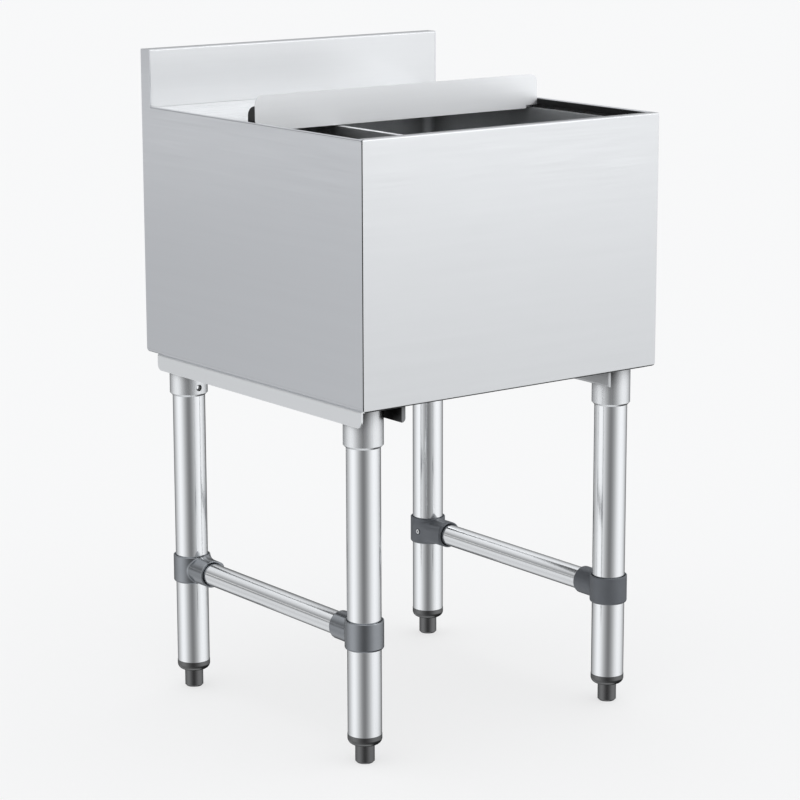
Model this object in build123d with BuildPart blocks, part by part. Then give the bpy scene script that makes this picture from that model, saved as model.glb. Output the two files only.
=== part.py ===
from build123d import *
import os

# Commercial ice bin on four tube legs, in millimetres.
# The origin is on the floor under the middle of the body, +Z is up and the front faces -Y.

# Outer body
width = 452.0
depth = 464.0
body_bottom = 440.0
rim_top = 755.0
splash_top = 826.0
splash_depth = 20.0
sheet = 1.0
fit_gap = 0.2

# Folded rim of the front and side panels
hem_radius = 2.0
hem_height = 9.0
return_width = 14.0
foot_return = 12.0
foot_bend = 2.0
side_bend = 6.0
front_rim_depth = 12.5
corner_gap = 0.9
tray_lip = 12.0
tray_gap = 0.1

# Inner tank
tank_half_width = 206.0
tank_front = -211.0
tank_rear = 200.0
tank_floor = 470.0
tank_corner = 13.0
tank_cove = 10.0
ledge_top = 744.0

# Drain in the tank floor
drain_x = 0.0
drain_y = -5.5
dish_radius = 38.0
dish_depth = 6.0
drain_flange_radius = 33.0
outlet_radius = 16.7
outlet_bore = 13.3
outlet_bottom = 398.0
shank_radius = 18.5
shank_bottom = 430.5
gasket_height = 1.5
locknut_across_flats = 50.0
locknut_height = 9.0
strainer_radius = 27.0
strainer_rise = 4.0
strainer_sheet = 1.2

# Cover rails
rail_inner = 218.5
rail_outer = 222.0
rail_foot_inner = 213.0
rail_foot_height = 2.0
rail_top = 754.0
rail_front = -219.3
rail_rear = 211.6

# Rear cover, fixed over the back half
rear_cover_half_width = 212.4
rear_cover_front = -6.0
rear_cover_rear = 211.4
rear_cover_top = 750.0

# Sliding cover, drawn pushed back to its rear stop
cover_half_width = 217.9
cover_sheet = 1.2
cover_rear = 210.8
cover_top = 754.0
cover_skirt_bottom = 746.1
cover_rear_lip = 3.0

# Pull plate on the front edge of the sliding cover
plate_front = -9.0
plate_half_width = 218.2
plate_top = 786.0
plate_notch_height = 747.0
plate_bottom = 743.0
plate_drop_half_width = 200.0
plate_corner = 11.0

# End blocks behind the pull plate
block_width = 12.0
block_length = 15.8
block_top = 773.0
block_round = 13.0

# Divider that hangs on the front and rear ledges
divider_x = -99.0
divider_sheet = 1.2
divider_top = 742.0
divider_bottom = 482.0
divider_front = -208.5
divider_rear = 197.5
divider_flange = 8.0
divider_flange_drop = 5.0
tongue_root = 4.5
tongue_rise = 1.3
tongue_front = -218.5
tongue_rear = 209.0

# Legs
leg_x = 193.0
leg_y = 187.0
leg_radius = 20.65
leg_wall = 1.6
leg_top = 436.0

# Channels under the body, one on each side
channel_outer = 221.75
channel_inner = 157.5
channel_sheet = 2.5
channel_hem = {"left": 5.5, "right": 3.8}
channel_hem_edge = 0.6
channel_bend = 3.0
channel_drop = 21.0
channel_front = -222.0
channel_rear = 214.0
channel_corner = 8.0
channel_cut_front = -180.0

# Sockets welded in the channels
socket_radius = 24.1
socket_bottom = 388.5
socket_chamfer = 3.0
socket_clearance = 0.3
socket_screw_z = 400.0
socket_screw_radius = 4.2

# Tee connectors and cross tubes
tee_level = {"left": 160.0, "right": 149.0}
tee_height = 35.4
tee_radius = 23.6
tee_edge = 0.7
branch_radius = 17.6
branch_reach = 48.0
mouth_round = 0.8
cross_radius = 14.3
cross_wall = 1.5
cross_end = 26.0
recess_gap = 1.2
recess_depth = 2.5
web_root = 23.4
web_tip = 17.8
web_reach = 46.0
web_height = 24.0
web_round = 6.0
pad_start = 2.0
pad_end = 41.0
pad_width = 12.0
pad_rise = 0.5
tee_screw_offset = 8.0
tee_screw_radius = 3.3
branch_screw_offset = 37.0

# Feet
lip_bottom = 23.5
lip_top = 36.0
lip_radius = 21.0
lip_round = 7.5
insert_radius = 18.8
insert_top = 62.0
stem_radius = 11.8
stem_clearance = 0.1
stem_top = 58.0
stem_chamfer = 2.0
stem_top_chamfer = 1.5

# Set screws
screw_clearance = 0.05
hex_socket_depth = 3.5

# Insulation boards
board_gap = 0.5

half_width = width / 2
half_depth = depth / 2
splash_front = half_depth - splash_depth
hem_thickness = 2 * hem_radius
tank_depth = tank_rear - tank_front
tank_middle_y = (tank_rear + tank_front) / 2
channel_web = body_bottom - channel_sheet
corners = {
    "front_left": (-1, -1),
    "front_right": (1, -1),
    "rear_left": (-1, 1),
    "rear_right": (1, 1),
}
sides = {"left": -1, "right": 1}

os.makedirs("parts", exist_ok=True)


def folded_outline():
    """Sheet section with its top folded over and its foot turned in; local x is inward, y is up."""
    turn = rim_top - hem_radius
    lip = rim_top - hem_height
    with BuildLine() as outline:
        Line((0, body_bottom), (0, turn))
        ThreePointArc((0, turn), (hem_radius, rim_top), (hem_thickness, turn))
        Polyline((hem_thickness, turn), (hem_thickness, lip), (hem_thickness - sheet, lip))
        Line((hem_thickness - sheet, lip), (hem_thickness - sheet, turn))
        ThreePointArc((hem_thickness - sheet, turn), (hem_radius, rim_top - sheet), (sheet, turn))
        Polyline(
            (sheet, turn),
            (sheet, body_bottom + sheet),
            (foot_return, body_bottom + sheet),
            (foot_return, body_bottom),
            (0, body_bottom),
        )
    return outline


def bend_foot(panel, run, outward, bend):
    """Round the inner and outer edges of a turned-in foot; run is its axis, outward a direction."""
    for height, radius in ((1, bend - sheet), (0, bend)):
        lengthwise = panel.edges().filter_by(run).group_by(Axis.Z)
        fillet(lengthwise[height].sort_by(outward)[-1], radius)


def hexagon_radius(across_flats):
    """Corner radius of a hexagon of the given width across its flats."""
    return across_flats / 3**0.5


# Front panel: sheet with a folded rim, mitred at both corners, and a return behind each side.
# Its rim goes on inward as a flat shelf with a turned-down lip, and its lower corners are rounded to
# follow the bends of the side panels.
front_plane = Plane(origin=(0, -half_depth, 0), x_dir=(0, 1, 0), z_dir=(1, 0, 0))
with BuildPart() as front_panel:
    with BuildSketch(front_plane):
        add(folded_outline().line)
        make_face()
    extrude(amount=half_width, both=True)
    bend_foot(front_panel, Axis.X, Axis((0, 0, 0), (0, -1, 0)), foot_bend)
    with BuildSketch(Plane.XZ.offset(half_depth)):
        for side in (-1, 1):
            with Locations((side * (half_width - side_bend / 2), body_bottom + side_bend / 2)):
                Rectangle(side_bend, side_bend)
            with Locations((side * (half_width - side_bend), body_bottom + side_bend)):
                Circle(side_bend, mode=Mode.SUBTRACT)
    extrude(amount=-foot_return, mode=Mode.SUBTRACT)
    for side in (-1, 1):
        corner = (side * (half_width - corner_gap), -half_depth, 0)
        split(bisect_by=Plane(origin=corner, z_dir=(-side, -1, 0)), keep=Keep.TOP)
    shelf_start = -half_depth + hem_radius
    shelf_depth = front_rim_depth - hem_radius
    shelf_width = 2 * (half_width - hem_thickness) - fit_gap
    shelf_end = shelf_start + shelf_depth
    with Locations((0, shelf_start + shelf_depth / 2, rim_top - sheet / 2)):
        Box(shelf_width, shelf_depth, sheet)
    with Locations((0, shelf_end - sheet / 2, rim_top - hem_height / 2)):
        Box(shelf_width, sheet, hem_height)
    shelf_edge = front_panel.edges().filter_by_position(Axis.Y, shelf_end - 0.01, shelf_end + 0.01)
    fillet(shelf_edge.filter_by(Axis.X).sort_by(Axis.Z)[-1], hem_radius - sheet / 2)
    return_bottom = body_bottom + tray_lip + 2 * sheet + tray_gap
    return_height = ledge_top - sheet - fit_gap - return_bottom
    for side in (-1, 1):
        return_x = side * (half_width - sheet - fit_gap - sheet / 2)
        return_y = -half_depth + sheet + return_width / 2
        with Locations((return_x, return_y, return_bottom + return_height / 2)):
            Box(sheet, return_width, return_height)
front_panel.part.label = "front_panel"
export_step(front_panel.part, "parts/front_panel.step")

# Side panels: folded rim in front of the splash, and an ear that closes the end of the splash
for name, side in sides.items():
    side_plane = Plane(origin=(side * half_width, 0, 0), x_dir=(-side, 0, 0), z_dir=(0, side, 0))
    rim_length = splash_front + half_depth
    ear_height = splash_top - body_bottom
    ear_y = half_depth - splash_depth / 2
    with BuildPart() as side_panel:
        with BuildSketch(side_plane.offset(side * splash_front)):
            add(folded_outline().line)
            make_face()
        extrude(amount=-side * rim_length)
        with Locations((side * (half_width - sheet / 2), ear_y, body_bottom + ear_height / 2)):
            Box(sheet, splash_depth, ear_height)
        with Locations((side * (half_width - foot_return / 2), ear_y, body_bottom + sheet / 2)):
            Box(foot_return, splash_depth, sheet)
        bend_foot(side_panel, Axis.Y, Axis((0, 0, 0), (side, 0, 0)), side_bend)
        ear_top = side_panel.edges().filter_by(Axis.X).group_by(Axis.Z)[-1]
        fillet(ear_top, hem_radius)
        corner = (side * half_width, -half_depth + corner_gap, 0)
        split(bisect_by=Plane(origin=corner, z_dir=(side, 1, 0)), keep=Keep.TOP)
    side_panel.part.label = f"{name}_side_panel"
    export_step(side_panel.part, f"parts/{name}_side_panel.step")

# Rear panel: back sheet folded over into the splash, whose foot stands behind the covers
splash_foot = ledge_top + 1.0
rear_plane = Plane(origin=(0, half_depth, 0), x_dir=(0, -1, 0), z_dir=(-1, 0, 0))
with BuildPart() as rear_panel:
    with BuildSketch(rear_plane):
        with BuildLine():
            Polyline(
                (foot_return, body_bottom),
                (0, body_bottom),
                (0, splash_top),
                (splash_depth, splash_top),
                (splash_depth, splash_foot),
                (splash_depth - sheet, splash_foot),
                (splash_depth - sheet, splash_top - sheet),
                (sheet, splash_top - sheet),
                (sheet, body_bottom + sheet),
                (foot_return, body_bottom + sheet),
                close=True,
            )
        fold = make_face()
        levels = fold.vertices().group_by(Axis.Y)
        fillet(levels[-1], hem_radius)
        fillet(levels[-2], hem_radius - sheet)
        fillet(levels[0].sort_by(Axis.X)[0], foot_bend)
        fillet(levels[1].sort_by(Axis.X)[0], foot_bend - sheet)
    extrude(amount=half_width - sheet - fit_gap, both=True)
    foot_half_width = half_width - foot_return - fit_gap
    foot_y = half_depth - foot_return / 2
    with BuildSketch(Plane.XY.offset(body_bottom)):
        for side in (-1, 1):
            with Locations((side * (foot_half_width + foot_return / 2), foot_y)):
                Rectangle(foot_return, foot_return)
    extrude(amount=side_bend, mode=Mode.SUBTRACT)
rear_panel.part.label = "rear_panel"
export_step(rear_panel.part, "parts/rear_panel.step")

# Bottom panel: a tray whose edges turn up inside the outer panels and rest on their feet
tray_bottom = body_bottom + sheet + tray_gap
tray_half_width = half_width - side_bend - fit_gap
tray_half_depth = half_depth - foot_bend - fit_gap
with BuildPart() as bottom_panel:
    with BuildSketch(Plane.XY.offset(tray_bottom)):
        Rectangle(2 * tray_half_width, 2 * tray_half_depth)
    extrude(amount=tray_lip + sheet)
    offset(amount=-sheet, openings=bottom_panel.faces().sort_by(Axis.Z)[-1])
    with BuildSketch(Plane.XY.offset(tray_bottom)):
        with Locations((drain_x, drain_y)):
            Circle(shank_radius + 0.5)
    extrude(amount=sheet, mode=Mode.SUBTRACT)
bottom_panel.part.label = "bottom_panel"
export_step(bottom_panel.part, "parts/bottom_panel.step")

# Inner tank: coved sheet tub with a ledge all round and a dished drain seat in its floor
dish_top_radius = dish_radius
dish_seat_radius = dish_radius - 3
dish_seat = tank_floor - dish_depth
with BuildPart() as ice_tank:
    with BuildSketch(Plane.XY.offset(tank_floor - sheet)):
        with Locations((0, tank_middle_y)):
            RectangleRounded(
                2 * (tank_half_width + sheet), tank_depth + 2 * sheet, tank_corner + sheet
            )
    extrude(amount=ledge_top - tank_floor + sheet)
    fillet(ice_tank.faces().sort_by(Axis.Z)[0].edges(), tank_cove + sheet)
    offset(amount=-sheet, openings=ice_tank.faces().sort_by(Axis.Z)[-1])
    ledge_half_width = half_width - sheet - fit_gap
    ledge_front = -half_depth + sheet + fit_gap
    ledge_rear = splash_front - fit_gap
    with BuildSketch(Plane.XY.offset(ledge_top - sheet)):
        with Locations((0, (ledge_front + ledge_rear) / 2)):
            Rectangle(2 * ledge_half_width, ledge_rear - ledge_front)
        with Locations((0, tank_middle_y)):
            RectangleRounded(2 * tank_half_width, tank_depth, tank_corner, mode=Mode.SUBTRACT)
    extrude(amount=sheet)
    with BuildSketch(Plane.XY.offset(tank_floor)):
        with Locations((drain_x, drain_y)):
            Circle(dish_top_radius - sheet)
    extrude(amount=-sheet, mode=Mode.SUBTRACT)
    with BuildSketch(Plane(origin=(drain_x, drain_y, 0), x_dir=(1, 0, 0), z_dir=(0, -1, 0))):
        with BuildLine():
            Polyline(
                (dish_top_radius, tank_floor),
                (dish_seat_radius, dish_seat),
                (shank_radius + 0.5, dish_seat),
                (shank_radius + 0.5, dish_seat - sheet),
                (dish_seat_radius + 0.5, dish_seat - sheet),
                (dish_top_radius + sheet, tank_floor - sheet),
                (dish_top_radius + sheet, tank_floor),
                close=True,
            )
        make_face()
    revolve(axis=Axis((drain_x, drain_y, 0), (0, 0, 1)))
ice_tank.part.label = "ice_tank"
export_step(ice_tank.part, "parts/ice_tank.step")

# Insulation boards between the tank and the outer panels
board_bottom = tray_bottom + sheet + fit_gap
floor_board_top = tank_floor - sheet - fit_gap
wall_board_top = ledge_top - sheet - fit_gap
board_half_width = half_width - 2 * sheet - 2 * board_gap - fit_gap
wall_x_inner = tank_half_width + sheet + board_gap
wall_front_inner = tank_front - sheet - board_gap
wall_rear_inner = tank_rear + sheet + board_gap
board_front = -half_depth + sheet + board_gap
board_rear = half_depth - sheet - board_gap
with BuildPart() as foam_floor:
    with BuildSketch(Plane.XY.offset(board_bottom)):
        Rectangle(2 * (tray_half_width - 2 * sheet), 2 * (tray_half_depth - 2 * sheet))
    extrude(amount=floor_board_top - board_bottom)
    with Locations((drain_x, drain_y, floor_board_top)):
        CounterBoreHole(shank_radius + 3, dish_top_radius + 3, dish_depth + 2 * sheet)
foam_floor.part.label = "foam_floor"
export_step(foam_floor.part, "parts/foam_floor.step")

walls = {
    "foam_front": (-board_half_width, board_half_width, board_front, wall_front_inner),
    "foam_rear": (-board_half_width, board_half_width, wall_rear_inner, board_rear),
    "foam_left": (-board_half_width, -wall_x_inner, wall_front_inner, wall_rear_inner),
    "foam_right": (wall_x_inner, board_half_width, wall_front_inner, wall_rear_inner),
}
for name, (x_low, x_high, y_low, y_high) in walls.items():
    wall_board_bottom = max(floor_board_top, tray_bottom + sheet + tray_lip) + fit_gap
    with BuildPart() as foam_wall:
        with BuildSketch(Plane.XY.offset(wall_board_bottom)):
            with Locations(((x_low + x_high) / 2, (y_low + y_high) / 2)):
                Rectangle(x_high - x_low, y_high - y_low)
        extrude(amount=wall_board_top - wall_board_bottom)
    foam_wall.part.label = name
    export_step(foam_wall.part, f"parts/{name}.step")

# Cover rails: black angle strips that line the side walls above the ledge
for name, side in sides.items():
    with BuildPart() as cover_rail:
        with BuildSketch(Plane.XZ.offset(-rail_front)):
            with BuildLine():
                Polyline(
                    (side * rail_foot_inner, ledge_top),
                    (side * rail_outer, ledge_top),
                    (side * rail_outer, rail_top),
                    (side * rail_inner, rail_top),
                    (side * rail_inner, ledge_top + rail_foot_height),
                    (side * rail_foot_inner, ledge_top + rail_foot_height),
                    close=True,
                )
            make_face()
        extrude(amount=-(rail_rear - rail_front))
        top_edges = cover_rail.edges().filter_by(Axis.Y).group_by(Axis.Z)[-1]
        fillet(top_edges, 0.6)
    cover_rail.part.label = f"cover_rail_{name}"
    export_step(cover_rail.part, f"parts/cover_rail_{name}.step")

# Rear cover: shallow pan over the back half of the tank
rear_cover_bottom = ledge_top + 0.05
rear_cover_length = rear_cover_rear - rear_cover_front
with BuildPart() as rear_cover:
    with BuildSketch(Plane.XY.offset(rear_cover_bottom)):
        with Locations((0, rear_cover_front + rear_cover_length / 2)):
            Rectangle(2 * rear_cover_half_width, rear_cover_length)
    extrude(amount=rear_cover_top - rear_cover_bottom)
    fillet(rear_cover.faces().sort_by(Axis.Z)[-1].edges(), 1.5)
    offset(amount=-sheet, openings=rear_cover.faces().sort_by(Axis.Z)[0])
rear_cover.part.label = "rear_cover"
export_step(rear_cover.part, "parts/rear_cover.step")

# Sliding cover: flat deck with skirts that run on the rails, and a small lip along its rear edge
cover_front = plate_front + cover_sheet
cover_length = cover_rear - cover_front
cover_middle_y = (cover_rear + cover_front) / 2
skirt_height = cover_top - cover_skirt_bottom
with BuildPart() as sliding_cover:
    with BuildSketch(Plane.XY.offset(cover_top - cover_sheet)):
        with Locations((0, cover_middle_y)):
            Rectangle(2 * cover_half_width, cover_length)
    extrude(amount=cover_sheet)
    with BuildSketch(Plane.XY.offset(cover_skirt_bottom)):
        for side in (-1, 1):
            with Locations((side * (cover_half_width - cover_sheet / 2), cover_middle_y)):
                Rectangle(cover_sheet, cover_length)
        with Locations((0, cover_front + cover_sheet / 2)):
            Rectangle(2 * cover_half_width, cover_sheet)
    extrude(amount=skirt_height - cover_sheet / 2)
    with BuildSketch(Plane.XY.offset(cover_top - cover_rear_lip)):
        with Locations((0, cover_rear - cover_sheet / 2)):
            Rectangle(2 * cover_half_width, cover_sheet)
    extrude(amount=cover_rear_lip - cover_sheet / 2)
    deck_sides = sliding_cover.edges().filter_by(Axis.Y).group_by(Axis.Z)[-1]
    fillet(deck_sides, 1.0)
sliding_cover.part.label = "sliding_cover"
export_step(sliding_cover.part, "parts/sliding_cover.step")

# Pull plate: stands up from the front edge of the sliding cover and drops just into the tank
with BuildPart() as pull_plate:
    with BuildSketch(Plane.XZ.offset(-plate_front)):
        plate_height = plate_top - plate_notch_height
        with Locations((0, plate_notch_height + plate_height / 2)):
            upstand = Rectangle(2 * plate_half_width, plate_height)
        fillet(upstand.vertices().group_by(Axis.Y)[-1], plate_corner)
        drop = plate_notch_height - plate_bottom
        with Locations((0, plate_bottom + drop / 2)):
            Rectangle(2 * plate_drop_half_width, drop)
    extrude(amount=-cover_sheet)
pull_plate.part.label = "pull_plate"
export_step(pull_plate.part, "parts/pull_plate.step")

# End blocks: rounded black blocks at both ends behind the pull plate
for name, side in sides.items():
    block_outer = side * plate_half_width
    with BuildPart() as end_block:
        block_plane = Plane(origin=(block_outer, cover_front, 0), x_dir=(0, 1, 0), z_dir=(1, 0, 0))
        with BuildSketch(block_plane):
            with Locations((block_length / 2, (block_top + cover_top) / 2)):
                profile = Rectangle(block_length, block_top - cover_top)
            fillet(profile.vertices().group_by(Axis.Y)[-1].sort_by(Axis.X)[-1], block_round)
        extrude(amount=-side * block_width)
        fillet(end_block.faces().sort_by(Axis.Y)[-1].edges().filter_by(Axis.Z), 1.5)
    end_block.part.label = f"cover_end_block_{name}"
    export_step(end_block.part, f"parts/cover_end_block_{name}.step")

# Divider: upright sheet with a folded top edge
tongue_bottom = ledge_top + 0.05
tongue_top = tongue_bottom + tongue_rise
shoulder_z = divider_top - tongue_root
shoulder_front = tank_front + tongue_root
shoulder_rear = tank_rear - tongue_root
divider_side = Plane.YZ.offset(divider_x - divider_sheet / 2)
with BuildPart() as well_divider:
    with BuildSketch(divider_side):
        with BuildLine():
            Polyline(
                (divider_front, divider_bottom),
                (divider_rear, divider_bottom),
                (divider_rear, shoulder_z),
                (shoulder_rear, shoulder_z),
                (shoulder_rear, divider_top),
                (shoulder_front, divider_top),
                (shoulder_front, shoulder_z),
                (divider_front, shoulder_z),
                close=True,
            )
        make_face()
    extrude(amount=divider_sheet)
    flange_length = tank_depth - 2 * tongue_root - 2
    flange_x = divider_x - divider_sheet / 2 + divider_flange / 2
    with Locations((flange_x, tank_middle_y, divider_top - divider_sheet / 2)):
        Box(divider_flange, flange_length, divider_sheet)
    flange_end_x = divider_x - divider_sheet / 2 + divider_flange - divider_sheet / 2
    with Locations((flange_end_x, tank_middle_y, divider_top - divider_flange_drop / 2)):
        Box(divider_sheet, flange_length, divider_flange_drop)
well_divider.part.label = "well_divider"
export_step(well_divider.part, "parts/well_divider.step")

# Divider tongues: on the divider's upper corners, each one rests on the ledge before it
tongue_ends = {
    "front": (divider_front, shoulder_front, tongue_front, tank_front + 1),
    "rear": (divider_rear, shoulder_rear, tongue_rear, tank_rear - 1),
}
for name, (sheet_edge, shoulder_y, tip_y, neck_y) in tongue_ends.items():
    with BuildPart() as divider_tongue:
        with BuildSketch(divider_side):
            with BuildLine():
                Polyline(
                    (sheet_edge, shoulder_z),
                    (shoulder_y, shoulder_z),
                    (shoulder_y, tongue_top),
                    (tip_y, tongue_top),
                    (tip_y, tongue_bottom),
                    (neck_y, tongue_bottom),
                    (neck_y, divider_top),
                    close=True,
                )
            make_face()
        extrude(amount=divider_sheet)
    divider_tongue.part.label = f"divider_tongue_{name}"
    export_step(divider_tongue.part, f"parts/divider_tongue_{name}.step")

# Drain gasket, body and locknut, one above the other on the drain axis
gasket_top = dish_seat + gasket_height
drain_axis = Axis((drain_x, drain_y, 0), (0, 0, 1))
drain_plane = Plane(origin=(drain_x, drain_y, 0), x_dir=(1, 0, 0), z_dir=(0, -1, 0))
with BuildPart() as drain_gasket:
    with BuildSketch(Plane.XY.offset(dish_seat)):
        with Locations((drain_x, drain_y)):
            Circle(drain_flange_radius)
            Circle(shank_radius + 0.4, mode=Mode.SUBTRACT)
    extrude(amount=gasket_height)
drain_gasket.part.label = "drain_gasket"
export_step(drain_gasket.part, "parts/drain_gasket.step")

flange_top = gasket_top + 3.5
seat_top = gasket_top + 2.0
bowl_floor = gasket_top + 0.9
with BuildPart() as drain_body:
    with BuildSketch(drain_plane):
        with BuildLine():
            Polyline(
                (outlet_bore, outlet_bottom),
                (outlet_radius, outlet_bottom),
                (outlet_radius, shank_bottom),
                (shank_radius, shank_bottom),
                (shank_radius, gasket_top),
                (drain_flange_radius, gasket_top),
                (drain_flange_radius, gasket_top + 2),
                (strainer_radius + 3.5, flange_top),
                (strainer_radius + 0.5, flange_top),
                (strainer_radius + 0.5, seat_top),
                (strainer_radius - 4, seat_top),
                (strainer_radius - 4, bowl_floor),
                (outlet_radius - 1, bowl_floor),
                (outlet_bore, gasket_top - 2),
                close=True,
            )
        make_face()
    revolve(axis=drain_axis)
    chamfer(drain_body.faces().sort_by(Axis.Z)[0].edges().sort_by(SortBy.RADIUS)[-1], 1.0)
drain_body.part.label = "drain_body"
export_step(drain_body.part, "parts/drain_body.step")

locknut_corner = hexagon_radius(locknut_across_flats)
locknut_bottom = tray_bottom - locknut_height
with BuildPart() as drain_locknut:
    with BuildSketch(Plane.XY.offset(locknut_bottom)):
        with Locations((drain_x, drain_y)):
            RegularPolygon(locknut_corner, 6)
            Circle(shank_radius + screw_clearance, mode=Mode.SUBTRACT)
    extrude(amount=locknut_height)
    with BuildSketch(drain_plane):
        with BuildLine():
            Polyline(
                (0, locknut_bottom),
                (locknut_across_flats / 2, locknut_bottom),
                (locknut_corner + 1, locknut_bottom + 2.5),
                (locknut_corner + 1, tray_bottom),
                (0, tray_bottom),
                close=True,
            )
        make_face()
    revolve(axis=drain_axis, mode=Mode.INTERSECT)
drain_locknut.part.label = "drain_locknut"
export_step(drain_locknut.part, "parts/drain_locknut.step")

# Strainer: low perforated dome with a lifting knob, resting in the drain body
dome_crown = seat_top + strainer_rise
dome_radius = (strainer_radius**2 + strainer_rise**2) / (2 * strainer_rise)
knob_radius = 4.0
knob_height = 3.5
with BuildPart() as drain_strainer:
    with BuildSketch(drain_plane):
        with BuildLine():
            low_arc = RadiusArc((0, dome_crown), (strainer_radius, seat_top), dome_radius)
            high_arc = RadiusArc(
                (0, dome_crown + strainer_sheet),
                (strainer_radius, seat_top + strainer_sheet),
                dome_radius,
            )
            Line(low_arc @ 0, high_arc @ 0)
            Line(low_arc @ 1, high_arc @ 1)
        make_face()
    revolve(axis=drain_axis)
    for ring_radius, count in ((9.5, 8), (15.0, 12), (20.5, 18)):
        with BuildSketch(Plane.XY.offset(seat_top)):
            with Locations((drain_x, drain_y)):
                with PolarLocations(ring_radius, count):
                    Circle(1.9)
        extrude(amount=strainer_rise + 3, mode=Mode.SUBTRACT)
    knob_z = dome_crown + strainer_sheet / 2 + knob_height / 2
    with Locations((drain_x, drain_y, knob_z)):
        knob = Cylinder(knob_radius, knob_height)
    fillet(drain_strainer.faces().sort_by(Axis.Z)[-1].edges(), 1.0)
drain_strainer.part.label = "drain_strainer"
export_step(drain_strainer.part, "parts/drain_strainer.step")

# Leg channels: inverted channels, front to back, that carry the sockets. The inner flange is folded
# double, and the outer one on the right starts behind the front leg.
for name, side in sides.items():
    channel_low = body_bottom - channel_drop
    channel_length = channel_rear - channel_front
    channel_middle = side * (channel_outer + channel_inner) / 2
    hollow_outer = channel_outer - channel_sheet
    hollow_inner = channel_inner + channel_hem[name]
    with BuildPart() as leg_channel:
        with BuildSketch(Plane.XZ.offset(-channel_front)):
            with Locations((channel_middle, (channel_low + body_bottom) / 2)):
                outside = Rectangle(channel_outer - channel_inner, channel_drop)
            fillet(outside.vertices().group_by(Axis.Y)[-1], channel_bend)
            with Locations((side * (hollow_outer + hollow_inner) / 2, (channel_low + channel_web) / 2)):
                Rectangle(
                    hollow_outer - hollow_inner,
                    channel_drop - channel_sheet,
                    mode=Mode.SUBTRACT,
                )
        extrude(amount=-channel_length)
        outward = Axis((0, 0, 0), (side, 0, 0))
        low_corners = leg_channel.edges().filter_by(Axis.X).group_by(Axis.Z)[0]
        fillet(low_corners.sort_by(outward)[2:], channel_corner)
        hem_edge = leg_channel.edges().filter_by(Axis.Y).group_by(Axis.Z)[0].sort_by(outward)[0]
        fillet(hem_edge, channel_hem[name] - channel_hem_edge)
        if side > 0:
            cut_length = channel_cut_front - channel_front
            cut_middle = (channel_cut_front + channel_front) / 2
            with Locations((hollow_outer + channel_sheet, cut_middle, channel_web - channel_drop / 2)):
                Box(2 * channel_sheet, cut_length, channel_drop, mode=Mode.SUBTRACT)
    leg_channel.part.label = f"leg_channel_{name}"
    export_step(leg_channel.part, f"parts/leg_channel_{name}.step")

# Leg sockets: short thick tubes under the channel webs, each with a threaded set screw hole
for name, (side_x, side_y) in corners.items():
    x, y = side_x * leg_x, side_y * leg_y
    with BuildPart() as leg_socket:
        with BuildSketch(Plane.XY.offset(socket_bottom)):
            with Locations((x, y)):
                Circle(socket_radius)
        extrude(amount=channel_web - socket_bottom)
        chamfer(leg_socket.faces().sort_by(Axis.Z)[0].edges(), socket_chamfer)
        with BuildSketch(Plane.XY.offset(socket_bottom)):
            with Locations((x, y)):
                Circle(leg_radius + socket_clearance)
        extrude(amount=channel_web - socket_bottom, mode=Mode.SUBTRACT)
        with BuildSketch(Plane(origin=(x, y, socket_screw_z), z_dir=(0, -side_y, 0))):
            Circle(socket_screw_radius)
        extrude(amount=socket_radius + 2, mode=Mode.SUBTRACT)
    leg_socket.part.label = f"leg_socket_{name}"
    export_step(leg_socket.part, f"parts/leg_socket_{name}.step")

# Socket set screws: one group of four, each pointing at its leg from the inner side
with BuildPart() as socket_set_screws:
    for side_x, side_y in corners.values():
        screw_plane = Plane(
            origin=(side_x * leg_x, side_y * leg_y, socket_screw_z), z_dir=(0, -side_y, 0)
        )
        outer_end = socket_radius - 0.6
        with BuildSketch(screw_plane.offset(leg_radius + screw_clearance)):
            Circle(socket_screw_radius - screw_clearance)
        extrude(amount=outer_end - leg_radius - screw_clearance)
        with BuildSketch(screw_plane.offset(outer_end)):
            RegularPolygon(hexagon_radius(4.0), 6)
        extrude(amount=-hex_socket_depth / 2, mode=Mode.SUBTRACT)
socket_set_screws.part.label = "socket_set_screws"
export_step(socket_set_screws.part, "parts/socket_set_screws.step")

# Leg tubes
for name, (side_x, side_y) in corners.items():
    with BuildPart() as leg_tube:
        with BuildSketch(Plane.XY.offset(lip_top)):
            with Locations((side_x * leg_x, side_y * leg_y)):
                Circle(leg_radius)
                Circle(leg_radius - leg_wall, mode=Mode.SUBTRACT)
        extrude(amount=leg_top - lip_top)
    leg_tube.part.label = f"leg_tube_{name}"
    export_step(leg_tube.part, f"parts/leg_tube_{name}.step")

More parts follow.
